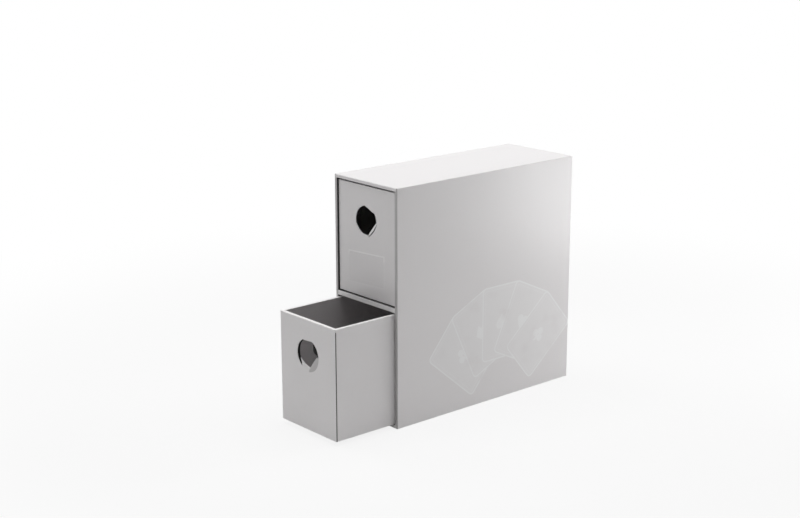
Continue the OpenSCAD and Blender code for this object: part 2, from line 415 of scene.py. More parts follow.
def lining_paper(name, shade, gloss=LINING_GLOSS):
    """Matt grey paper with fibres and faint clouds."""
    s = Shader(name)
    fibre = s.noise(*LINING_FIBRE)
    dark = warm_grey(shade * LINING_DARK, FIBRE_TINT)
    light = warm_grey(shade * LINING_LIGHT, FIBRE_TINT)
    colour = s.mix(s.ramp(fibre, *LINING_RANGE), dark, light)
    clouds = s.math("MULTIPLY", s.noise(*LINING_CLOUDS), CLOUD_SHARE)
    colour = s.mix(clouds, colour, warm_grey(shade, CLOUD_TINT))
    return s.finish_surface(colour, LINING_ROUGH, s.bump(fibre, LINING_DEPTH),
                            {"IOR": LINING_IOR, "Specular IOR Level": gloss})


# Raw grey board
BOARD_DARK, BOARD_LIGHT = (0.25, 0.23, 0.2, 1), (0.4, 0.37, 0.33, 1)
BOARD_FLECK = (0.12, 0.11, 0.1, 1)
BOARD_GRAIN = (500, 6)
FLECK_SCALE = 900.0
FLECK_RANGE = (0.16, 0.06)
BOARD_DEPTH = 0.05 * MM
BOARD_ROUGH = 0.9


def greyboard(name):
    """Raw grey board: pressed fibres with dark flecks."""
    s = Shader(name)
    grain = s.noise(*BOARD_GRAIN)
    flecks = s.add("ShaderNodeTexVoronoi", {"Vector": s.coords, "Scale": FLECK_SCALE})
    colour = s.mix(grain, BOARD_DARK, BOARD_LIGHT)
    colour = s.mix(s.ramp(flecks.outputs["Distance"], *FLECK_RANGE), colour, BOARD_FLECK)
    return s.finish_surface(colour, BOARD_ROUGH, s.bump(grain, BOARD_DEPTH))


# Gummed paper tape
TAPE_DARK, TAPE_LIGHT = (0.035, 0.032, 0.035, 1), (0.08, 0.075, 0.08, 1)
TAPE_FIBRE = (1100, 5)
TAPE_DEPTH = 0.03 * MM
TAPE_ROUGH = 0.6


def gummed_tape(name):
    """Dark gummed paper tape."""
    s = Shader(name)
    fibre = s.noise(*TAPE_FIBRE)
    colour = s.mix(fibre, TAPE_DARK, TAPE_LIGHT)
    return s.finish_surface(colour, TAPE_ROUGH, s.bump(fibre, TAPE_DEPTH))


# The drawers' lining carries painted light, the cells' lining painted shade.
lining = lining_paper("drawer_lining_painted_light", DRAWER_LINING_LIT)
cell_lining = lining_paper("cell_lining_painted_shade", CELL_LINING_SHADED)
# The sleeve's paper is near black and dull: partly a dark lining, partly painted shade in the
# thumb holes.
sleeve_dark_and_shade = lining_paper("hole_sleeve_dark_and_shade", SLEEVE_DARK_AND_SHADED, SLEEVE_GLOSS)
grey_board = greyboard("grey_board")
tape = gummed_tape("stay_tape")


def place_piece(piece, body, slot, material, *nodes):
    """Gives a piece its material and its body, and hides the nodes that it stands for. The slot is
    not used.
    """
    piece.data.materials.append(material)
    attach(piece, body)
    if nodes:
        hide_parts(*nodes)


def refinish(node, material):
    """Gives a node of the frame that stays in sight another material."""
    node.data.materials.clear()
    node.data.materials.append(material)


# Case papers

def case_wrap():
    """The paper round the left side, the back and the right side."""
    paper = Paper(CASE_LOW, CASE_HIGH, mouth=CASE_MOUTH)
    (x0, y0, z0), (x1, y1, z1) = CASE_LOW, CASE_HIGH
    inner_x0, inner_x1, inner_y1 = x0 + TOP_INSET, x1 - TOP_INSET, y1 - TOP_INSET
    paper.rule(0, inner_x0, inner_x1)
    paper.rule(1, inner_y1)
    for side in (-1, 1):
        paper.patch(0, side, (y0, y1), (z0, z1))
    paper.patch(1, 1, (z0, z1), (x0, x1))
    for first, second, third in ((x0, inner_x0, CELL_LOW_X), (x1, inner_x1, CELL_HIGH_X)):
        paper.patch(1, -1, (z0, z1), sorted((first, second)))
        paper.patch(1, -1, (BASE_TOP, CEILING), sorted((second, third)))
    for side in (-1, 1):
        paper.patch(2, side, (x0, inner_x0), (y0, y1))
        paper.patch(2, side, (inner_x1, x1), (y0, y1))
        paper.patch(2, side, (inner_x0, inner_x1), (inner_y1, y1))
    return paper.mesh("case_wrap")


def case_end_paper(name, side):
    """The paper of the top or the underside, turned over the front edge of its board."""
    paper = Paper(CASE_LOW, CASE_HIGH, mouth=CASE_MOUTH)
    (x0, y0, z0), (x1, y1, z1) = CASE_LOW, CASE_HIGH
    inset = TOP_INSET + JOINT_GAP
    lip = (CEILING, z1) if side > 0 else (z0, BASE_TOP)
    paper.rule(0, CELL_LOW_X, CELL_HIGH_X)
    paper.patch(2, side, (x0 + inset, x1 - inset), (y0, y1 - inset))
    paper.patch(1, -1, lip, (x0 + inset, x1 - inset))
    return paper.mesh(name)


def shelf_edge_paper():
    """The strip on the shelf's front edge."""
    strip_low, strip_high = low("shelf_edge_strip"), high("shelf_edge_strip")
    box_low = [CELL_LOW_X - FOLD_R, CASE_LOW[1], strip_low[2]]
    box_high = [CELL_HIGH_X + FOLD_R, high("shelf_board")[1], strip_high[2]]
    paper = Paper(box_low, box_high, fold=LIP_R)
    paper.patch(1, -1, (strip_low[2], strip_high[2]), (CELL_LOW_X, CELL_HIGH_X))
    return paper.mesh("shelf_edge_paper")


# Where a turned-in margin ends under the outer paper, and how wide its step is
MARGIN = 14 * MM
MARGIN_STEP = 1.2 * MM


def margin_relief(box_low, box_high):
    """The step where a turned-in margin ends under the outer paper."""
    def relief(s):
        return s.ramp(edge_distance(s, box_low, box_high), MARGIN, MARGIN + MARGIN_STEP, 1.0, 0.0)
    return relief


# The tone-on-tone print low on the right side: a fan of playing cards, each with one suit sign.
# Its places are along Y and Z.
FAN_PIVOT = (18 * MM, 10 * MM)
FAN_CARDS = ((-50, "club"), (-25, "diamond"), (0, "spade"), (25, "heart"), (50, "club"))
FAN_REACH = 60 * MM
CARD_HALF = (23 * MM, 33 * MM)
CARD_R = 4 * MM
CARD_LINE = 1.3 * MM
BORDER_IN = 3 * MM
BORDER_LINE = 0.65 * MM
SOFT = 0.35 * MM
CARD_TONE, BORDER_TONE, SIGN_TONE = 0.35, 0.7, 0.85
PRINT_SHADE = (0.95, 0.95, 0.95, 1)
PRINT_WEAR = (60, 4)
PRINT_WEAR_RANGE = (0.2, 0.5)

# Shapes of the suit signs. SIGN is half a sign's height, and places and sizes are shares of it.
SIGN = 8 * MM
SLANT = 0.7                 # makes the slanted sides' measure about a distance
DIAMOND_WIDE = 0.72
STEM_HALF = (0.14, 0.4)
STEM_DOWN = 0.6
LEAVES, LEAF_R = ((0.0, 0.5), (-0.45, -0.15), (0.45, -0.15)), 0.42
LOBES, LOBE_R = ((-0.4, 0.32), (0.4, 0.32)), 0.45
POINT_WIDE, POINT_TOP = 0.8, 0.3


def inside(s, distance):
    """1 where a signed distance is below zero, with a soft edge."""
    return s.ramp(distance, SOFT, -SOFT)


def discs(s, coords, places, radius, flip=1.0):
    """The signed distance to the nearest of some discs."""
    distances = []
    for u, v in places:
        middle = (u * SIGN, v * SIGN * flip, 0)
        off = s.add("ShaderNodeVectorMath", {0: coords, 1: middle}, operation="DISTANCE")
        distances.append(s.math("SUBTRACT", off.outputs["Value"], radius * SIGN))
    return s.math("MINIMUM", *distances)


def slanted(s, u, v, half_u, half_v):
    """Roughly the signed distance to a diamond round the middle."""
    total = s.math("ADD", s.math("DIVIDE", u, half_u), s.math("DIVIDE", v, half_v))
    return s.math("MULTIPLY", s.math("SUBTRACT", total, 1.0), min(half_u, half_v) * SLANT)


def stem(s, width, v):
    """The signed distance to the foot of a club or a spade."""
    over_u = s.math("SUBTRACT", width, SIGN * STEM_HALF[0])
    off = s.math("ABSOLUTE", s.math("ADD", v, SIGN * STEM_DOWN))
    return s.math("MAXIMUM", over_u, s.math("SUBTRACT", off, SIGN * STEM_HALF[1]))


def suit_sign(s, coords, suit):
    """The signed distance to a heart, a spade, a club or a diamond."""
    u, v, _ = s.split(coords)
    width = s.math("ABSOLUTE", u)
    if suit == "diamond":
        return slanted(s, width, s.math("ABSOLUTE", v), SIGN * DIAMOND_WIDE, SIGN)
    if suit == "club":
        return s.math("MINIMUM", discs(s, coords, LEAVES, LEAF_R), stem(s, width, v))
    up = -1.0 if suit == "spade" else 1.0
    flipped = s.math("MULTIPLY", v, up)
    point = slanted(s, width, s.math("ABSOLUTE", flipped), SIGN * POINT_WIDE, SIGN)
    point = s.math("MAXIMUM", point, s.math("SUBTRACT", flipped, SIGN * POINT_TOP))
    heart = s.math("MINIMUM", discs(s, coords, LOBES, LOBE_R, up), point)
    return s.math("MINIMUM", heart, stem(s, width, v)) if suit == "spade" else heart


def card_edge(s, coords):
    """The signed distance to the rounded outline of a card."""
    overs = []
    for place, half in zip(s.split(coords), CARD_HALF):
        over = s.math("SUBTRACT", s.math("ABSOLUTE", place), half - CARD_R)
        overs.append(s.math("MAXIMUM", over, 0.0))
    corner = s.add("ShaderNodeCombineXYZ", enumerate(overs)).outputs[0]
    length = s.add("ShaderNodeVectorMath", {0: corner}, operation="LENGTH").outputs["Value"]
    return s.math("SUBTRACT", length, CARD_R)


def card_fan(s):
    """How light the print is at each point, from 0 where there is none."""
    _, y, z = s.split()
    flat = s.add("ShaderNodeCombineXYZ", {0: y, 1: z}).outputs[0]
    light = 0.0
    for turn, suit in FAN_CARDS:
        a = math.radians(turn)
        middle = (FAN_PIVOT[0] + FAN_REACH * math.sin(a),
                  FAN_PIVOT[1] + FAN_REACH * math.cos(a), 0)
        turned = {"Vector": flat, "Location": middle, "Rotation": (0, 0, -a)}
        coords = s.add("ShaderNodeMapping", turned, vector_type="TEXTURE").outputs[0]
        edge = card_edge(s, coords)
        line = s.math("SUBTRACT", s.math("ABSOLUTE", edge), CARD_LINE / 2)
        border = s.math("ABSOLUTE", s.math("ADD", edge, BORDER_IN))
        border = inside(s, s.math("SUBTRACT", border, BORDER_LINE / 2))
        sign = inside(s, suit_sign(s, coords, suit))
        tone = s.math("MAXIMUM", s.math("MULTIPLY", sign, SIGN_TONE), CARD_TONE,
                      s.math("MULTIPLY", border, BORDER_TONE), inside(s, line))
        card = inside(s, s.math("SUBTRACT", edge, CARD_LINE / 2))
        light = s.mix_values(card, light, tone)
    return light


# Tints of the case's papers: painted shade on the side walls' front edges, painted light on
# # the shelf's strip. The bright white is also the pressed field's painted highlight.
EDGE_PAINTED_SHADE = (0.53, 0.515, 0.518, 1)
EDGE_SHADE_REACH = (0.8 * MM, 0.3 * MM)
PAINTED_LIGHT_WHITE = (0.975, 0.96, 0.96, 1)
STRIP_LIGHT_SHARE = 0.8


def side_print(s, colour):
    """Adds the print, worn here and there, to the paper of the case's right side."""
    there = s.ramp(s.split()[0], CASE_HIGH[0] - 2 * FOLD_R, CASE_HIGH[0] - FOLD_R)
    kept = s.ramp(s.noise(*PRINT_WEAR), *PRINT_WEAR_RANGE)
    return s.mix(s.math("MULTIPLY", card_fan(s), there, kept), colour, PRINT_SHADE)


def wrap_print_and_shade(s, colour):
    """The print of the right side, and painted shade on the front edges of the two side walls."""
    start, end = (CASE_LOW[1] + reach for reach in EDGE_SHADE_REACH)
    return s.mix(s.ramp(s.split()[1], start, end), side_print(s, colour), EDGE_PAINTED_SHADE)


def strip_painted_light(s, colour):
    """Painted light on the shelf's strip, which makes it whiter than the wrap."""
    return s.mix(STRIP_LIGHT_SHARE, colour, PAINTED_LIGHT_WHITE)


wrap_material = coated_paper("white_wrap_edge_shade", CASE_LOW, CASE_HIGH, tint=wrap_print_and_shade)
strip_painted_light_material = coated_paper("white_strip_painted_light", CASE_LOW, CASE_HIGH, tint=strip_painted_light)
end_material = coated_paper("white_end", CASE_LOW, CASE_HIGH,
                            relief=margin_relief(CASE_LOW, CASE_HIGH))
place_piece(case_wrap(), "case", "white_paper", wrap_material, "case_side_wrap")
place_piece(case_end_paper("case_top_paper", 1), "case", "white_paper", end_material,
            "case_top_sheet")
place_piece(case_end_paper("case_base_paper", -1), "case", "white_paper", end_material,
            "case_base_sheet")
place_piece(shelf_edge_paper(), "case", "white_paper", strip_painted_light_material, "shelf_edge_strip")


# Drawers

class Drawer:
    """The places of one drawer, from its nodes."""

    def __init__(self, prefix):
        self.prefix = prefix
        self.body = prefix + "_drawer"
        self.low = np.minimum(low(prefix + "_front_sheet"), low(prefix + "_side_wrap"))
        self.high = np.maximum(high(prefix + "_front_sheet"), high(prefix + "_side_wrap"))
        floor_lining, base_sheet = prefix + "_floor_lining", prefix + "_base_sheet"
        self.inner_low, self.inner_high = low(floor_lining), high(floor_lining)
        self.window_low, self.window_high = low(base_sheet), high(base_sheet)
        self.mouth = (2, 1, list(self.inner_low), list(self.inner_high))
        self.hole, self.hole_r = self.thumb_hole()

    def thumb_hole(self):
        """The hole's middle on the paper and its radius, from the bore in the front board."""
        name = self.prefix + "_front_board"
        board_low, board_high = low(name), high(name)
        places = np.array([v.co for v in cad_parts[name].data.vertices])
        off = np.minimum(places - board_low, board_high - places)[:, [0, 2]]
        ring = places[np.all(off > BORE_MARGIN, axis=1)]
        middle = (ring.min(0) + ring.max(0)) / 2
        radius = (ring.max(0) - ring.min(0))[0] / 2
        return np.array([middle[0], board_low[1] - PAPER_T, middle[2]]), radius

    def at_hole(self, radius, degrees, depth=0.0):
        """A place by its distance and direction from the hole's middle, and its depth."""
        a = math.radians(degrees)
        return self.hole + np.array([radius * math.cos(a), depth, radius * math.sin(a)])


class Tongue(NamedTuple):
    """A tongue of the white paper. Places along it are shares of the hole's radius."""
    start: float            # where it starts and ends, in degrees round the hole
    end: float
    outer: tuple            # where the flat paper ends
    bow: float = 0.0        # 0 where it turns in along a straight line, 1 along an arc
    inner: tuple = None     # where the paper turns in, if that isn't there
    outer_bow: float = 1.0
    rows: tuple = ()        # between the two: share of the way in, mm deep and bulge
    gap: int = None         # the row after which the paper is torn open
    sunk: float = 0.0       # mm deep where it turns in
    depth: float = 0.42     # mm deep at its end
    slit: float = SLIT_RUN  # how far the cut at its start runs out into the flat paper


TORN_STRIP = {"rows": ((0.04, 0.5, 0.9), (0.36, 0.25, 1.0)), "gap": 1, "outer_bow": 0.45,
              "sunk": 0.6, "depth": 1.8}
DENT = {"rows": ((0.04, 1.3, 1.0), (0.1, 1.5, 1.0), (0.2, 1.42, 1.0), (0.6, 0.85, 0.8)),
        "sunk": 0.3, "depth": 1.4}

UPPER_TONGUES = [
    Tongue(4, 43, (0.88, 0.95), 1), Tongue(43, 58, (0.95, 0.83)),
    Tongue(58, 100, (0.83, 0.98), 0.2), Tongue(100, 145, (0.98, 1.0), 1),
    Tongue(145, 191, (1.0, 1.0), 1), Tongue(191, 244, (1.0, 0.84), 0.7, depth=0.6),
    Tongue(244, 278, (0.84, 0.8), 0.5, depth=0.8),
    Tongue(278, 364, (0.92, 0.95), 0, (0.77, 0.81), **TORN_STRIP),
]
LOWER_TONGUES = [
    Tongue(4, 66, (1.0, 1.0), 1), Tongue(66, 86, (1.0, 0.9)),
    Tongue(86, 119, (0.9, 1.0), slit=1.5 * MM), Tongue(119, 152, (1.0, 1.0), 1),
    Tongue(152, 184, (1.0, 1.0), 1), Tongue(184, 236, (1.0, 0.97), 1),
    Tongue(236, 281, (0.97, 1.0), 0.3, (0.75, 0.775), sunk=1.3, depth=1.9),
    Tongue(281, 364, (1.0, 1.0), 0, (0.79, 0.8), **DENT),
]
# The lower hole's free tip, from the start of one tongue: degrees, outer and inner share, mm deep
FREE_TIP_TONGUE = 6
FREE_TIP = ((221, 0.91, 0.79, 1.4), (204, 0.915, 0.905, 1.6))


def along(tongue, shares, bow, part):
    """The share of the hole's radius at a part of the way from the tongue's start to its end."""
    (first, last), turn = shares, math.radians(tongue.end - tongue.start)
    straight = first * last * math.sin(turn)
    straight /= first * math.sin(turn * part) + last * math.sin(turn * (1 - part))
    arc = first + (last - first) * part
    return straight + (arc - straight) * bow


def tongue_rows(tongue, part, hole_r):
    """The radius and depth of each row of a tongue, from the flat paper inwards."""
    outer_bow = tongue.outer_bow if tongue.inner else tongue.bow
    outer = hole_r * along(tongue, tongue.outer, outer_bow, part)
    inner = hole_r * along(tongue, tongue.inner, tongue.bow, part) if tongue.inner else outer
    rows = [(outer, 0.0)]
    for share, deep, bulge in tongue.rows:
        swell = 1 - bulge + bulge * math.sin(math.pi * part) ** SWELL_POWER
        rows.append((outer + (inner - outer) * share, deep * MM * swell))
    sunk = tongue.sunk * MM
    if tongue.inner:
        rows.append((inner, sunk))
    for k in range(TONGUE_STEPS):
        turn = math.radians(90 * (k + 1) / TONGUE_STEPS)
        depth = sunk + TONGUE_FOLD * (1 - math.cos(turn))
        rows.append((inner - TONGUE_FOLD * math.sin(turn), depth))
    end_depth = max(tongue.depth * MM, sunk + TONGUE_FOLD * TONGUE_LEAST)
    rows.append((inner - TONGUE_FOLD, end_depth))
    return rows


def span(tongue):
    """The numbers of the hole's points at which a tongue starts and ends."""
    return round(tongue.start / HOLE_TURN), round(tongue.end / HOLE_TURN)


def tongue_table(tongue, hole_r):
    """The rows of a tongue at each of its points."""
    first, last = span(tongue)
    return [tongue_rows(tongue, i / (last - first), hole_r) for i in range(last - first + 1)]


class Hole:
    """Cuts the thumb hole into a front paper, from a square of it that is left free."""

    def __init__(self, paper, drawer, tongues):
        self.paper, self.polar, self.radius = paper, drawer.at_hole, drawer.hole_r
        self.tongues = tongues
        self.reach = [0.0] * HOLE_POINTS    # where the flat paper ends, point by point
        for tongue in tongues:
            for i, rows in enumerate(tongue_table(tongue, self.radius), span(tongue)[0]):
                i %= HOLE_POINTS
                self.reach[i] = max(self.reach[i], rows[0][0])

    def on_square(self, degrees):
        """The place in a direction on the edge of the square of flat paper."""
        a = math.radians(degrees)
        return self.polar(HOLE_FIELD / max(abs(math.cos(a)), abs(math.sin(a))), degrees)

    def flat_field(self):
        """The flat paper round the hole. Gives its innermost ring of points."""
        rings = []
        for share in HOLE_RINGS:
            ring = []
            for i, reach in enumerate(self.reach):
                degrees = i * HOLE_TURN
                place = self.on_square(degrees) * (1 - share) + self.polar(reach, degrees) * share
                ring.append(self.paper.point(place))
            rings.append(ring)
        for outer, inner in zip(rings, rings[1:]):
            for i in range(HOLE_POINTS):
                j = (i + 1) % HOLE_POINTS
                self.paper.faces.append([outer[j], inner[j], inner[i], outer[i]])
        return rings[-1]

    def tongue_lines(self, tongue):
        """A tongue's points, in lines from the flat paper inwards, with a slit at both ends."""
        table = tongue_table(tongue, self.radius)
        first, last = span(tongue)
        half, middle = (last - first) * HOLE_TURN / 2, (last + first) * HOLE_TURN / 2
        lines = []
        for k in range(len(table[0])):
            line = []
            for i, rows in enumerate(table):
                radius, depth = rows[k]
                spread = SLIT_HALF + SLIT_SPREAD * depth
                squeeze = 1 - math.degrees(spread / self.radius) / half
                degrees = middle + (i * HOLE_TURN - half) * squeeze
                line.append(self.paper.point(self.polar(radius, degrees, depth), fixed=k > 0))
            lines.append(line)
        return lines

    def tongue_faces(self, tongue, lines, field):
        """Joins a tongue's lines to the flat paper and to each other, apart from its torn gap."""
        first, last = span(tongue)
        for i in range(last - first):
            here, after = field[(first + i) % HOLE_POINTS], field[(first + i + 1) % HOLE_POINTS]
            self.paper.faces.append([after, lines[0][i + 1], lines[0][i], here])
            for k, (near, far) in enumerate(zip(lines, lines[1:])):
                if k != tongue.gap or i in (0, last - first - 1):
                    self.paper.faces.append([near[i + 1], far[i + 1], far[i], near[i]])

    def cut(self, free_tip):
        field = self.flat_field()
        starts, ends = {}, {}
        for tongue in self.tongues:
            lines = self.tongue_lines(tongue)
            self.tongue_faces(tongue, lines, field)
            first, last = span(tongue)
            starts[first % HOLE_POINTS] = lines, tongue.slit
            ends[last % HOLE_POINTS] = lines
        for i, (lines, slit) in starts.items():
            notch = self.paper.point(self.polar(self.reach[i] + slit, i * HOLE_TURN))
            self.paper.faces.append([field[i], notch, ends[i][0][-1]])
            self.paper.faces.append([field[i], lines[0][0], notch])
        if free_tip:
            base = self.tongues[FREE_TIP_TONGUE]
            self.add_tip(free_tip, base, starts[span(base)[0]][0])

    def add_tip(self, free_tip, base, lines):
        """A torn tip that stands off from the start of one tongue."""
        near = [lines[k][0] for k in (0, 1, -1)]
        for degrees, outer, inner, deep in free_tip:
            turned = inner - TONGUE_FOLD / self.radius, deep + base.depth - base.sunk
            far = []
            for share, down in ((outer, deep), (inner, deep), turned):
                place = self.polar(self.radius * share, degrees, down * MM)
                far.append(self.paper.point(place, fixed=True))
            for k in range(2):
                self.paper.faces.append([near[k], near[k + 1], far[k + 1], far[k]])
            near = far


def front_paper(drawer, tongues, free_tip):
    """The front's paper, with a lip over the rim and one under the bottom."""
    paper = Paper(drawer.low, drawer.high, mouth=drawer.mouth)
    (x0, y0, z0), (x1, _, z1) = drawer.low, drawer.high
    hole = drawer.hole
    turns = [math.radians(-45 + 90 * i / HOLE_STEPS) for i in range(HOLE_STEPS + 1)]
    field = [HOLE_FIELD * math.tan(turn) for turn in turns]
    paper.rule(0, *[hole[0] + f for f in field])
    paper.rule(2, *[hole[2] + f for f in field])
    paper.rule(0, drawer.window_low[0], drawer.window_high[0])

    def in_field(z, x):
        return abs(x - hole[0]) < HOLE_FIELD and abs(z - hole[2]) < HOLE_FIELD

    paper.patch(1, -1, (z0, z1), (x0, x1), skip=in_field)
    paper.patch(2, 1, (drawer.inner_low[0], drawer.inner_high[0]), (y0, drawer.inner_low[1]))
    paper.patch(2, -1, (drawer.window_low[0], drawer.window_high[0]), (y0, drawer.window_low[1]))
    Hole(paper, drawer, tongues).cut(free_tip)
    return paper.mesh(drawer.prefix + "_front_paper")


# The open seam at the front corners: its width, and how far below the rim it ends
SEAM_W = 1.1 * MM
SEAM_DROP = 2.4 * MM


def side_paper(drawer):
    """The paper round both sides and the back, with lips over the rim and under the bottom."""
    paper = Paper(drawer.low, drawer.high, mouth=drawer.mouth)
    (x0, y0, z0), (x1, y1, z1) = drawer.low, drawer.high
    start, seam_y, seam_top = y0 + JOINT_GAP, y0 + SEAM_W, z1 - SEAM_DROP
    inner_x = (drawer.inner_low[0], drawer.inner_high[0])
    window_x = (drawer.window_low[0], drawer.window_high[0])
    paper.rule(1, start, seam_y, drawer.window_high[1])
    paper.rule(2, seam_top)
    paper.rule(0, *window_x)
    for side in (-1, 1):
        paper.patch(0, side, (seam_y, y1), (z0, z1))
        paper.patch(0, side, (start, seam_y), (seam_top, z1))
    paper.patch(1, 1, (z0, z1), (x0, x1))
    for across in ((x0, inner_x[0]), (inner_x[1], x1)):
        paper.patch(2, 1, across, (start, y1))
    paper.patch(2, 1, inner_x, (drawer.inner_high[1], y1))
    for across in ((x0, window_x[0]), (window_x[1], x1)):
        paper.patch(2, -1, across, (seam_y, y1))
    paper.patch(2, -1, window_x, (drawer.window_high[1], y1))
    return paper.mesh(drawer.prefix + "_side_paper")


# The sleeve's rows: mm deep, and the share of the flap's reach there
SLEEVE_ROWS = ((0.4, 0.0), (0.75, 0.75), (1.1, 1.0), (2.0, 0.6))
SLEEVE_END_SHARE = 0.2
SLEEVE_T = 0.06 * MM
SLEEVE_GAP = 0.02 * MM


def hole_sleeve(drawer, flap_middle, flap_half, flap_reach):
    """The dark lining turned out through the thumb hole, with one flap left standing in. It is
    near
    black: partly the lining's colour, partly painted shade in the hole.
    """
    wall = (drawer.inner_low[1] - drawer.low[1]) / MM
    points = []
    for depth, share in SLEEVE_ROWS + ((wall, SLEEVE_END_SHARE),):
        for i in range(HOLE_POINTS):
            degrees = i * HOLE_TURN
            off = abs((degrees - flap_middle + 180) % 360 - 180)
            flap = math.cos(math.radians(90 * min(1, off / flap_half)))
            radius = drawer.hole_r - SLEEVE_T - SLEEVE_GAP - flap * flap_reach * share
            points.append(drawer.at_hole(radius, degrees, depth * MM))
    faces = []
    for row in range(0, len(SLEEVE_ROWS) * HOLE_POINTS, HOLE_POINTS):
        for i in range(HOLE_POINTS):
            here, after = row + i, row + (i + 1) % HOLE_POINTS
            faces.append([here, here + HOLE_POINTS, after + HOLE_POINTS, after])
    piece = new_piece(drawer.prefix + "_hole_sleeve", points, faces)
    solid = piece.modifiers.new("thickness", "SOLIDIFY")
    solid.thickness, solid.offset = SLEEVE_T, 1
    return piece


# The plain pressed field on the upper drawer's front: its middle and half its size along X and Z
FIELD_MIDDLE = (-0.75 * MM, 130.5 * MM)
FIELD_HALF = (22.75 * MM, 13.5 * MM)
FIELD_SLOPE = 0.053
FIELD_STEP = 0.3 * MM
FIELD_DEPTH = 1.6           # in shares of RELIEF_DEPTH
FIELD_GREY = (0.8, 0.78, 0.784, 1)
FIELD_SHARE = 0.5
# The line round the field is a painted highlight, strongest along its top edge where light catches
# it.
FIELD_HIGHLIGHT_LINE = (0.9 * MM, 0.3 * MM)
LOW_HIGHLIGHT_SHARE = 0.12       # what is left of the line below the field's upper part

# The painted shade on the lower hole's pushed-in tongue. Along X and Z from the hole's middle, it
# # sets in between the first place and the second.
DENT_PAINTED_SHADE = (0.6, 0.585, 0.588, 1)
DENT_SHADE_SOFT = 0.5 * MM
DENT_SHADE_X = (0.0, 2 * MM)
DENT_SHADE_Z = (1.5 * MM, 0.5 * MM)

# Painted light on the drawers' rim, which makes it whiter. It sets in between the two depths.
RIM_LIGHT_REACH = (0.6 * MM, 0.2 * MM)
RIM_PAINTED_LIGHT = (0.985, 0.97, 0.968, 1)


def field_edge(s):
    """The signed distance to the edge of the pressed field, which rises a little to the right."""
    x, _, z = s.split()
    x = s.math("SUBTRACT", x, FIELD_MIDDLE[0])
    z = s.math("SUBTRACT", z, FIELD_MIDDLE[1], s.math("MULTIPLY", x, FIELD_SLOPE))
    over_x = s.math("SUBTRACT", s.math("ABSOLUTE", x), FIELD_HALF[0])
    over_z = s.math("SUBTRACT", s.math("ABSOLUTE", z), FIELD_HALF[1])
    return s.math("MAXIMUM", over_x, over_z)


def on_front(s, drawer):
    """1 on the drawer's front, 0 behind it."""
    return s.ramp(s.split()[1], drawer.low[1] + 2 * FOLD_R, drawer.low[1] + FOLD_R)


def pressed_field(s, drawer):
    """1 on the pressed field, 0 elsewhere."""
    field = s.ramp(field_edge(s), FIELD_STEP, -FIELD_STEP)
    return s.math("MULTIPLY", field, on_front(s, drawer))


def field_tint(s, drawer, colour):
    """The field is a little darker, with a painted highlight round it, strongest along its top."""
    share = s.math("MULTIPLY", pressed_field(s, drawer), FIELD_SHARE)
    colour = s.mix(share, colour, FIELD_GREY)
    line = s.ramp(s.math("ABSOLUTE", field_edge(s)), *FIELD_HIGHLIGHT_LINE)
    middle, half = FIELD_MIDDLE[1], FIELD_HALF[1]
    upper = s.ramp(s.split()[2], middle + half / 2, middle + half, LOW_HIGHLIGHT_SHARE, 1.0)
    return s.mix(s.math("MULTIPLY", line, upper, on_front(s, drawer)), colour, PAINTED_LIGHT_WHITE)


def dent_painted_shade(s, drawer, colour):
    """Painted shade makes the pushed-in tongue at the hole's lower right greyer than the front."""
    x, _, z = s.split()
    x = s.math("SUBTRACT", x, float(drawer.hole[0]))
    z = s.math("SUBTRACT", z, float(drawer.hole[2]))
    reach = s.math("SQRT", s.math("ADD", s.math("MULTIPLY", x, x), s.math("MULTIPLY", z, z)))
    in_hole = s.ramp(reach, drawer.hole_r, drawer.hole_r - DENT_SHADE_SOFT)
    share = s.math("MULTIPLY", in_hole, s.ramp(x, *DENT_SHADE_X), s.ramp(z, *DENT_SHADE_Z))
    return s.mix(share, colour, DENT_PAINTED_SHADE)


def rim_painted_light(s, drawer, colour):
    """Painted light makes the fold over the rim whiter than the walls."""
    start, end = (drawer.high[2] - reach for reach in RIM_LIGHT_REACH)
    return s.mix(s.ramp(s.split()[2], start, end), colour, RIM_PAINTED_LIGHT)


def drawer_paper(drawer):
    """A drawer's white paper, with painted light on the rim. The upper one has the pressed field,
    the lower one painted shade on the dent.
    """
    upper = drawer.prefix == "upper"
    margin = margin_relief(drawer.low, drawer.high)

    def relief(s):
        pressed = s.math("MULTIPLY", pressed_field(s, drawer), FIELD_DEPTH)
        return s.math("SUBTRACT", margin(s), pressed)

    def tint(s, colour):
        colour = (field_tint if upper else dent_painted_shade)(s, drawer, colour)
        return rim_painted_light(s, drawer, colour)

    return coated_paper(drawer.prefix + "_white", drawer.low, drawer.high,
                        relief=relief if upper else margin, tint=tint)


# Each drawer's tongues, its free tip, and the flap of its sleeve: middle and half width in
# degrees, and reach
HOLES = {
    "upper": (UPPER_TONGUES, (), (22, 26, 3.4 * MM)),
    "lower": (LOWER_TONGUES, FREE_TIP, (34, 38, 6.2 * MM)),
}
for prefix, (tongues, free_tip, flap) in HOLES.items():
    drawer = Drawer(prefix)
    paper_material = drawer_paper(drawer)
    place_piece(front_paper(drawer, tongues, free_tip), drawer.body, "white_paper", paper_material,
                prefix + "_front_sheet")
    place_piece(side_paper(drawer), drawer.body, "white_paper", paper_material,
                prefix + "_side_wrap")
    place_piece(hole_sleeve(drawer, *flap), drawer.body, "dark_lining", sleeve_dark_and_shade)
    refinish(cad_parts[prefix + "_base_sheet"], paper_material)

# Materials of the other nodes in sight, by the end of the name. The first that fits counts.
FINISHES = {"cell_lining": cell_lining, "lining": lining, "board": grey_board, "stays": tape}
for name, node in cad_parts.items():
    finish = next((FINISHES[end] for end in FINISHES if name.endswith(end)), None)
    if finish:
        refinish(node, finish)


# Studio

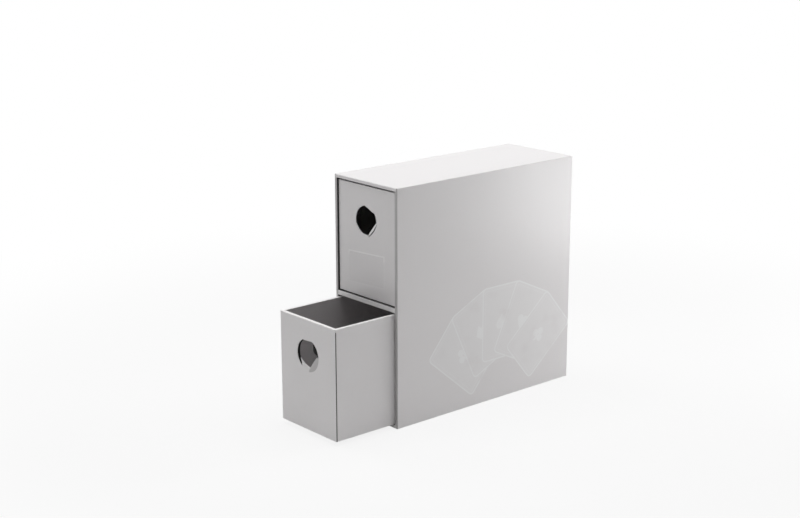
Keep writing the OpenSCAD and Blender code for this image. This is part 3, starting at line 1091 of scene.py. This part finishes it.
FLOOR_HALF = 4.0
FLOOR_Z = -0.05 * MM
FLOOR_DARK, FLOOR_LIGHT = (0.784, 0.784, 0.784, 1), (0.816, 0.816, 0.816, 1)
FLOOR_CLOUDS = (6, 2)
SHADOW_NEAR, SHADOW_FAR = 0.3, 0.7
SHADOW_SHARE = 0.16


def floor_material():
    """White with the object's shadow to the camera and in reflections, pale paint otherwise."""
    s = Shader("studio_floor")
    paint = s.mix(s.noise(*FLOOR_CLOUDS), FLOOR_DARK, FLOOR_LIGHT)
    diffuse = s.add("ShaderNodeBsdfDiffuse", {"Color": paint}).outputs[0]
    glow = s.add("ShaderNodeEmission", {"Color": WHITE, "Strength": 1.0}).outputs[0]
    path = s.add("ShaderNodeLightPath").outputs
    seen = s.math("MAXIMUM", path["Is Camera Ray"], path["Is Glossy Ray"],
                  path["Is Transmission Ray"])
    distance = s.add("ShaderNodeVectorMath", {0: s.coords}, operation="LENGTH").outputs["Value"]
    white = s.ramp(distance, SHADOW_NEAR, SHADOW_FAR, 1 - SHADOW_SHARE, 1.0)
    share = s.math("MULTIPLY", seen, white)
    mixed = s.add("ShaderNodeMixShader", {0: share, 1: diffuse, 2: glow})
    return s.finish(mixed.outputs[0])


floor_corners = [(x * FLOOR_HALF, y * FLOOR_HALF, FLOOR_Z)
                 for x, y in ((-1, -1), (1, -1), (1, 1), (-1, 1))]
floor = new_piece("studio_floor", floor_corners, [(0, 1, 2, 3)], smooth=False)
floor.data.materials.append(floor_material())

# Lamps: where each stands, what it looks at, its width and height, and its power
LOOK_AT = (0.0, 0.0, 0.1)
LAMPS = {
    "top": ((0.0, 0.1, 1.5), LOOK_AT, (1.4, 1.4), 17.3),
    "top_right": ((0.9, -0.1, 1.2), LOOK_AT, (1.0, 1.0), 0.4),
    "right_strip": ((0.32, 0.46, 0.08), (0.04, 0.1, 0.05), (0.25, 0.2), 0.82),
    "right_back": ((0.45, 1.8, 0.5), (0.04, -0.1, 0.1), (0.4, 0.8), 10.0),
    "front_left": ((-0.7, -1.7, 0.9), LOOK_AT, (1.0, 1.0), 5.2),
    "left": ((-1.5, -0.5, 0.8), LOOK_AT, (1.0, 1.0), 9.0),
}


def lamp(name, place, target, size, power):
    data = bpy.data.lights.new(name + "_lamp", "AREA")
    data.shape = "RECTANGLE"
    data.size, data.size_y = size
    data.energy = power
    obj = bpy.data.objects.new(data.name, data)
    bpy.context.scene.collection.objects.link(obj)
    obj.location = place
    aim = Vector(target) - Vector(place)
    obj.rotation_euler = aim.to_track_quat("-Z", "Y").to_euler()


for name, settings in LAMPS.items():
    lamp(name, *settings)


def studio_world():
    """White to the camera and in reflections, with no light of its own on the object."""
    world = bpy.data.worlds.new("studio")
    world.use_nodes = True
    nodes = Nodes(world.node_tree)
    path = nodes.add("ShaderNodeLightPath").outputs
    seen = nodes.math("MAXIMUM", path["Is Camera Ray"], path["Is Glossy Ray"])
    background = nodes.add("ShaderNodeBackground", {"Color": WHITE, "Strength": seen})
    nodes.add("ShaderNodeOutputWorld", {"Surface": background.outputs[0]})
    bpy.context.scene.world = world


studio_world()
bpy.context.scene.view_settings.view_transform = "Standard"

# Camera at the photograph's angle: where it stands and how it is turned, in degrees
CAMERA_PLACE = Vector((0.946783, -0.884547, 0.468401))
CAMERA_AZIMUTH = 49.124
CAMERA_ELEVATION = 14.996
CAMERA_ROLL = -0.116
CAMERA_LENS = 68.685
CAMERA_SENSOR = 36.0
CAMERA_CLIP = (0.05, 50.0)


def camera():
    data = bpy.data.cameras.new("camera")
    data.lens, data.sensor_width = CAMERA_LENS, CAMERA_SENSOR
    data.clip_start, data.clip_end = CAMERA_CLIP
    a, e, roll = (math.radians(x) for x in (CAMERA_AZIMUTH, CAMERA_ELEVATION, CAMERA_ROLL))
    back = Vector((math.sin(a) * math.cos(e), -math.cos(a) * math.cos(e), math.sin(e)))
    right = Vector((math.cos(a), math.sin(a), 0))
    up = back.cross(right)
    turned = right * math.cos(roll) + up * math.sin(roll)
    up = up * math.cos(roll) - right * math.sin(roll)
    turn = Matrix((turned, up, back)).transposed()
    obj = bpy.data.objects.new("camera", data)
    obj.matrix_world = Matrix.Translation(CAMERA_PLACE) @ turn.to_4x4()
    bpy.context.scene.collection.objects.link(obj)
    bpy.context.scene.camera = obj


camera()
